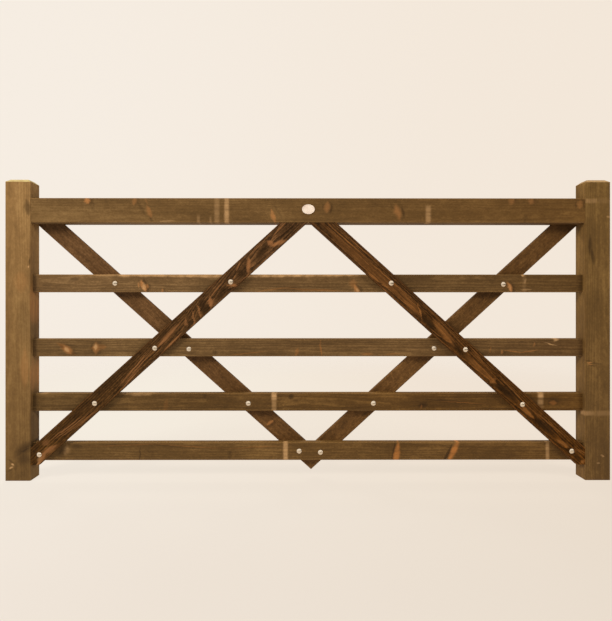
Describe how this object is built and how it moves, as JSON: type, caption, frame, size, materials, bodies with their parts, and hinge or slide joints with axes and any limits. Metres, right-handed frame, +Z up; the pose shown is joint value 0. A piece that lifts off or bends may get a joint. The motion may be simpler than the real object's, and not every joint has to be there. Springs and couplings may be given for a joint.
{
  "type": "timber field gate",
  "caption": "Timber field gate leaf with bars tenoned into two stiles and diamond bracing coach-bolted through the bars.",
  "frame": {"origin": "on the ground under the middle of the gate, half-way through its thickness", "axes": "+X along the gate to the closing stile, -Y is the front with the bolt heads, +Z up"},
  "size_m": [2.4, 0.089, 1.195],
  "materials": {
    "stile_timber": "planed softwood, brown pressure treatment, matt",
    "top_bar_timber": "planed softwood, brown pressure treatment, matt",
    "bar_timber": "planed softwood, brown pressure treatment, matt",
    "front_brace_timber": "planed softwood with a bold figure, dark brown pressure treatment, matt",
    "rear_brace_timber": "planed softwood, dark brown pressure treatment, matt",
    "peg_timber": "turned hardwood dowel, matt",
    "zinc": "hot-dip galvanised, satin grey",
    "badge": "plain white enamel, satin"
  },
  "bodies": {
    "root": {"hanging_stile": "stile_timber", "closing_stile": "stile_timber", "top_bar": "top_bar_timber", "second_bar": "bar_timber", "third_bar": "bar_timber", "fourth_bar": "bar_timber", "bottom_bar": "bar_timber", "front_brace_left": "front_brace_timber", "front_brace_right": "front_brace_timber", "rear_brace_left": "rear_brace_timber", "rear_brace_right": "rear_brace_timber", "hanging_pegs": "peg_timber", "closing_pegs": "peg_timber", "front_left_bolts": "zinc", "front_right_bolts": "zinc", "rear_left_bolts": "zinc", "rear_right_bolts": "zinc", "front_left_washers": "zinc", "front_right_washers": "zinc", "rear_left_washers": "zinc", "rear_right_washers": "zinc", "front_left_nuts": "zinc", "front_right_nuts": "zinc", "rear_left_nuts": "zinc", "rear_right_nuts": "zinc", "badge_plate": "badge"}
  },
  "joints": []
}
